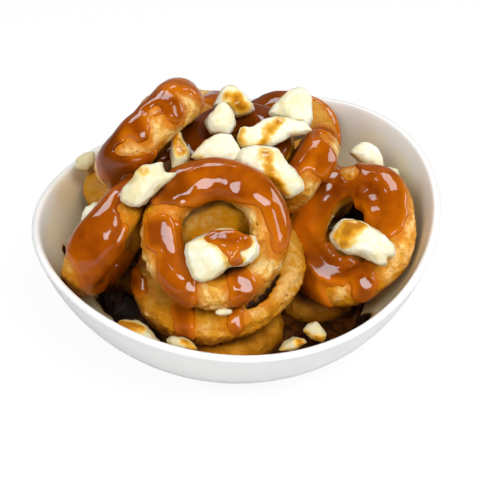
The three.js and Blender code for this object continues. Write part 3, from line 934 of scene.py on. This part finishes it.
curdSet["tall"] = dict(
    outline=[(-11.1, -2.7), (-8.4, 2.3), (-5, 5.6), (-1.7, 9), (1.6, 10.5), (5.6, 10.9), (9, 8.9), (10.9, 4.9),
        (11.5, -0.4), (11.2, -5.7), (9.2, -10.3), (3.6, -8.7), (-2.4, -6.4), (-8.4, -5)],
)
curdSet["right_back"] = dict(
    outline=[(-9, 1.9), (-6.6, 5.6), (-2.5, 7.7), (2.6, 7.1), (5.6, 4.6), (7.7, 0.2), (8.8, -4.6), (7.7, -8.3),
        (2.6, -6), (-4.2, -3)],
)
curdSet["sliver"] = dict(
    outline=[(-4.9, 8.5), (-2.9, 10.9), (0, 10.3), (1.6, 5), (4.5, 0.2), (3.9, -5.2), (0, -10), (-3.2, -12),
        (-4.5, -8.2), (-4.7, 0.2)],
    gravy=[[(-3, 8, 2.4), (-1, 4, 3.6), (1, 0, 3)]], dull=0.3,
)
curdSet["behind_left"] = dict(
    outline=[(-6.7, -7.5), (-5.5, 2.7), (-3.9, 8), (-0.4, 9.7), (6.7, 9.3), (5.4, 3), (2, -3), (-2.4, -7)],
)
curdSet["far_left"] = dict(outline=[(-5, -4), (-5, 2), (-1, 5), (5, 6), (5, -1), (2, -5)], dull=0.7)
curdSet["low_left"] = dict(
    outline=[(-11.8, 4), (-8.3, 6), (-1.9, 5.3), (2.6, 3), (6.6, -1), (10, -5), (4.1, -5.3), (-2.8, -3.5), (-8.8, 0)],
    gravy=[[(-11, 5, 5), (-4, 4, 4), (2, 3, 2.4)]], dull=0.45,
)
curdSet["low_front"] = dict(
    outline=[(-7.7, 1.5), (-4.7, 3), (0.3, 2), (6.3, -1.6), (7.3, -3.5), (-0.7, -3.4), (-7.2, -1)],
    gravy=[[(2, 1, 2.2), (6, -2, 2.2)]], dull=0.55,
)
curdSet["low_right"] = dict(
    outline=[(-5.9, 0), (-3.7, 3.7), (0.7, 4.9), (3.7, 2), (6, -2), (4.2, -5.5), (-1.8, -4)],
    gravy=[[(-6, -3, 3), (-2, -5, 3), (4, -5, 2.6)]], dull=0.6,
)
curdSet["low_middle"] = dict(
    outline=[(-7.4, -3.2), (-4, 0.8), (1, 3.3), (5.5, 3), (7, 0.8), (0, -3)],
    gravy=[[(3, 2, 2.6), (6, 0, 3)], [(-7, -3, 2)]], dull=0.6,
)
curdSet["far_right"] = dict(outline=[(-4, -5), (-5, 2), (-1, 6), (4, 5), (5, -2), (2, -6)], dull=0.5)
curdShape = dict(
    inMm(voxel=0.7, lump=0.8, lumpSize=7, crease=0.3, creaseSize=2.8, torn=0.75, tornSize=4.6, stainSize=4), easing=7,
    layers=6, square=3.2, ends=0.45, deep=0.95, stainLift=0.42, stainEdge=1.8, stainSoft=4.6,
)
curdCoat = dict(gravyCoat, **inMm(thick=0.9, edge=2, wander=1.2, ripple=0.15))


def tearCurd(name, outline, middle, depth, seed):
    c = curdShape
    bm = bmesh.new()
    ring = [bm.verts.new((x * mm, y * mm, -depth / 2)) for x, y in outline]
    layer = [bm.faces.new(ring)]
    centre = sum((v.co for v in ring), Vector()) / len(ring)
    steps, square = c["layers"], c["square"]
    crown = [(1 - abs(2 * k / steps - 1) ** square) ** (1 / square) for k in range(steps + 1)]
    crown[0] = crown[-1] = c["ends"]
    bmesh.ops.scale(bm, verts=ring, vec=(crown[0], crown[0], 1), space=Matrix.Translation(-centre))
    for k in range(1, steps + 1):
        grown = bmesh.ops.extrude_face_region(bm, geom=layer)["geom"]
        verts = [g for g in grown if isinstance(g, bmesh.types.BMVert)]
        layer = [g for g in grown if isinstance(g, bmesh.types.BMFace)]
        ratio = crown[k] / crown[k - 1]
        bmesh.ops.scale(bm, verts=verts, vec=(ratio, ratio, 1), space=Matrix.Translation(-centre))
        bmesh.ops.translate(bm, verts=verts, vec=(0, 0, depth / steps))
    bmesh.ops.recalc_face_normals(bm, faces=bm.faces)
    place = Matrix((across, upSlope, outSlope)).transposed().to_4x4()
    place.translation = middle
    bmesh.ops.transform(bm, matrix=place, verts=bm.verts)
    curd = newPiece(name, bm)
    skinOver(curd, c["voxel"], c["easing"])
    points = pointsOf(curd)
    rise = c["lump"] * lumps(points, c["lumpSize"], seed) + c["crease"] * lumps(points, c["creaseSize"], seed + 20, 2)
    far = smoothStep(0.2, -0.4, normalsOf(curd) @ outSlope)  # rougher on its far side
    swellPiece(curd, rise + c["torn"] * far * lumps(points, c["tornSize"], seed + 40, 2))
    return curd


for number, (name, curdPlan) in enumerate(curdSet.items()):
    node = "curd_" + name
    low, high = (np.array(corner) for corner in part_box(node))
    middle = (low + high) / 2
    depth = float(high[1] - low[1]) * curdShape["deep"]
    curd = tearCurd("cheeseCurd_" + name, curdPlan["outline"], middle, depth, 70 + number)
    points = pointsOf(curd)
    lift = outSlope * depth * curdShape["stainLift"]
    strokes = curdPlan.get("gravy", [])
    placed = [[(middle + (across * x + upSlope * y) * mm + lift, w * mm) for x, y, w in stroke] for stroke in strokes]
    edge = curdShape["stainEdge"]
    inside = inStrokes(points, placed) / mm + edge + edge * lumps(points, curdShape["stainSize"], number, 2)
    keepValue(curd, "stain", np.clip(inside / curdShape["stainSoft"], 0, 1))
    # painted shade: a greyer tone for curds that lie in the heap's shade
    keepValue(curd, "dull", curdPlan.get("dull", 0.0))
    if curdPlan.get("thick"):
        cover = coatOver(curd, "gravyOnCurd_" + name, 110 + number, curdCoat, placed)
        keepValue(cover, "depth", inStrokes(pointsOf(cover), placed) / mm)
        keepValue(cover, "open", openness(cover))
        finishPiece(cover, gravy, "gravy")
    keepValue(curd, "open", openness(curd))
    finishPiece(curd, cheese, "cheese", node)
print("curds built")

# crumbs of curd and batter caught on the rings: ring, hour, side, then length, width and height in mm, and a turn
crumbSet = dict(
    cheese=[("front", 5.8, 14, 8.4, 3.4, 3.4, 1.4), ("right", 10.3, 200, 4.5, 1.8, 2.4, 4.3),
            ("right", 5.4, 150, 3, 2, 1.6, 2.2)],
    batter=[("wide", 7.4, 30, 2.6, 2, 1.6, 5), ("right", 5.9, 20, 3, 2, 1.6, 1.3),
            ("right", 3.9, 15, 2.4, 1.8, 1.4, 2.6), ("left", 8, -60, 2.6, 2, 1.4, 5.2)],
)


def buildCrumbs(name, crumbs, material, slot, seed):
    bm = bmesh.new()
    for ring, hour, side, length, width, height, turn in crumbs:
        middle = middleOf("ring_" + ring)
        place = ringPoint(ringSet[ring], middle, hour, side)
        core = ringPoint(dict(ringSet[ring], wide=0, thick=0), middle, hour, side)
        out = unit(place - core)
        turned = Vector(out).to_track_quat("Z", "X").to_matrix() @ Matrix.Rotation(turn, 3, "Z")
        made = bmesh.ops.create_icosphere(bm, subdivisions=3, radius=0.5 * mm)["verts"]
        bmesh.ops.scale(bm, verts=made, vec=(length, width, height))
        bmesh.ops.rotate(bm, verts=made, cent=(0, 0, 0), matrix=turned)
        bmesh.ops.translate(bm, verts=made, vec=Vector(place + out * 0.9 * mm))
    crumb = newPiece(name, bm)
    swellPiece(crumb, 0.5 * mm * lumps(pointsOf(crumb), 1.4 * mm, seed, 2))
    for value in ("stain", "toast", "soak", "glaze", "cleft", "dull", "lit"):
        keepValue(crumb, value, 0.0)
    keepValue(crumb, "open", 0.8)
    finishPiece(crumb, material, slot)


buildCrumbs("curdCrumbs", crumbSet["cheese"], cheese, "cheese", 3)
buildCrumbs("batterCrumbs", crumbSet["batter"], batter, "batter", 5)

# gravy lying in the bottom of the bowl
bedShape = inMm(
    edge=13, heap=24, reach=72, top=18, ripple=1.6, rippleSize=9, bank=32, bankTop=12, behind=16, below=13, thick=3,
    gap=4.6,
)
bedRings = 34


def buildBed():  # gravy under the heap, painted near black as shade, level near the wall, rising towards the middle
    b = bedShape
    bm = bmesh.new()
    radius = float(wallRadius(0.2)) - b["gap"]
    bmesh.ops.create_circle(bm, cap_ends=True, cap_tris=False, segments=96, radius=radius)
    faces = bm.faces[:]
    for _ in range(bedRings):
        bmesh.ops.inset_region(bm, faces=faces, thickness=radius / bedRings * 0.98)
    bed = newPiece("gravyBed", bm)
    points = pointsOf(bed)
    away = np.linalg.norm(points[:, :2], axis=1)
    points[:, 2] = b["edge"] + b["heap"] * smoothStep(b["reach"], b["top"], away)
    low = middleOf("ring_right")  # banked up under the ring on the right, it fills the view through its hole with painted shade
    beside = np.linalg.norm(points[:, :2] - low[:2] - np.array([0, b["behind"]]), axis=1)
    points[:, 2] = np.maximum(points[:, 2], (low[2] - b["below"]) * smoothStep(b["bank"], b["bankTop"], beside))
    points[:, 2] += b["ripple"] * lumps(points, b["rippleSize"], 31, 2)
    movePoints(bed, points)
    bed.modifiers.new("depth", "SOLIDIFY").thickness = b["thick"]
    applyModifiers(bed)
    finishPiece(bed, dregs, "gravy")


buildBed()
print("crumbs and bottom gravy built")

# floor, light and camera
floorLook = dict(size=4.0, tones=((0.74, 0.74, 0.74, 1), (0.76, 0.76, 0.76, 1)), glow=1.06, share=0.85)


def blendInto(w, tree, share, first, second):  # two shaders, mixed, go to the tree's own output
    blend = w.feed(w.node("MixShader"), {0: share, 1: first.outputs[0], 2: second.outputs[0]})
    last = next(node for node in tree.nodes if "Surface" in node.inputs)
    w.link(blend[0], last.inputs["Surface"])


def buildFloor(look):
    bm = bmesh.new()
    bmesh.ops.create_grid(bm, x_segments=1, y_segments=1, size=look["size"])
    floor = newPiece("floor", bm)
    material, w, shader, where = newMaterial("paleFloor")
    w.feed(shader, {"Base Color": w.mix(w.noise(where, 3.0), *look["tones"]), "Roughness": 0.7})
    glow = w.node("Emission")  # lit from below, as a light table is, so that shadows on it stay faint
    w.feed(glow, {"Strength": look["glow"]})
    seen = w.math("MULTIPLY", w.node("LightPath").outputs["Is Camera Ray"], look["share"])
    blendInto(w, material.node_tree, seen, shader, glow)
    floor.data.materials.append(material)


def addSoftbox(name, azimuth, elevation, distance, size, power, tint=(1, 1, 1), shines=True, fills=True):
    lamp = bpy.data.lights.new(name, "AREA")
    lamp.shape = "RECTANGLE"
    lamp.size, lamp.size_y = size
    lamp.energy = power
    lamp.color = tint
    way = Vector(wayTo(azimuth, elevation))
    box = addObject(name, lamp)
    box.location = Vector(lampAim) + way * distance
    box.rotation_euler = way.to_track_quat("Z", "Y").to_euler()
    box.visible_glossy = shines
    box.visible_diffuse = fills


buildFloor(floorLook)
for name, box in shineSet.items():
    addSoftbox(name + "Shine", **box, tint=(0.82, 0.94, 1.0), fills=False)
addSoftbox("keyBox", azimuth=40, elevation=56, distance=1.3, size=(0.7, 0.7), power=11.2, shines=False)
addSoftbox("fillBox", azimuth=-36, elevation=40, distance=1.3, size=(0.6, 0.6), power=6.2, shines=False)
studioShape = dict(
    fill=(0.15, 0.42), wrap=0.34, room=0.02, backdrop=0.2, plain=(1.0, 0.99, 0.98, 1), mirrored=(0.95, 0.96, 1.0, 1),
)


def buildStudio(look):  # white all round for plain light; what shines back is a pale backdrop and a dark room in front
    world = bpy.data.worlds.new("studio")
    world.use_nodes = True
    w = Wires(world.node_tree)
    plain = world.node_tree.nodes["Background"]
    mirrored = w.node("Background")
    way = w.feed(w.node("SeparateXYZ"), {0: w.node("TexCoord").outputs["Generated"]})
    sides = w.range(way["X"], -1.0, 1.0, *look["fill"])
    wrap = w.range(way["Y"], 0.1, 0.8, 0.0, look["wrap"])
    w.feed(plain, {"Color": look["plain"], "Strength": w.math("ADD", sides, wrap)})
    backdrop = w.range(way["Y"], 0.5, 0.95, look["room"], look["backdrop"])
    w.feed(mirrored, {"Color": look["mirrored"], "Strength": backdrop})
    blendInto(w, world.node_tree, w.node("LightPath").outputs["Is Glossy Ray"], plain, mirrored)
    scene.world = world


buildStudio(studioShape)
scene.view_settings.view_transform = "Standard"

eye = bpy.data.cameras.new("eye")
eye.lens = viewShape["lens"]
eye.sensor_width = viewShape["sensor"]
eye.clip_start = viewShape["near"]
scene.camera = addObject("eye", eye)
scene.camera.location = eyePlace
scene.camera.rotation_euler = (math.pi / 2 - slope, 0, 0)
print("studio built")
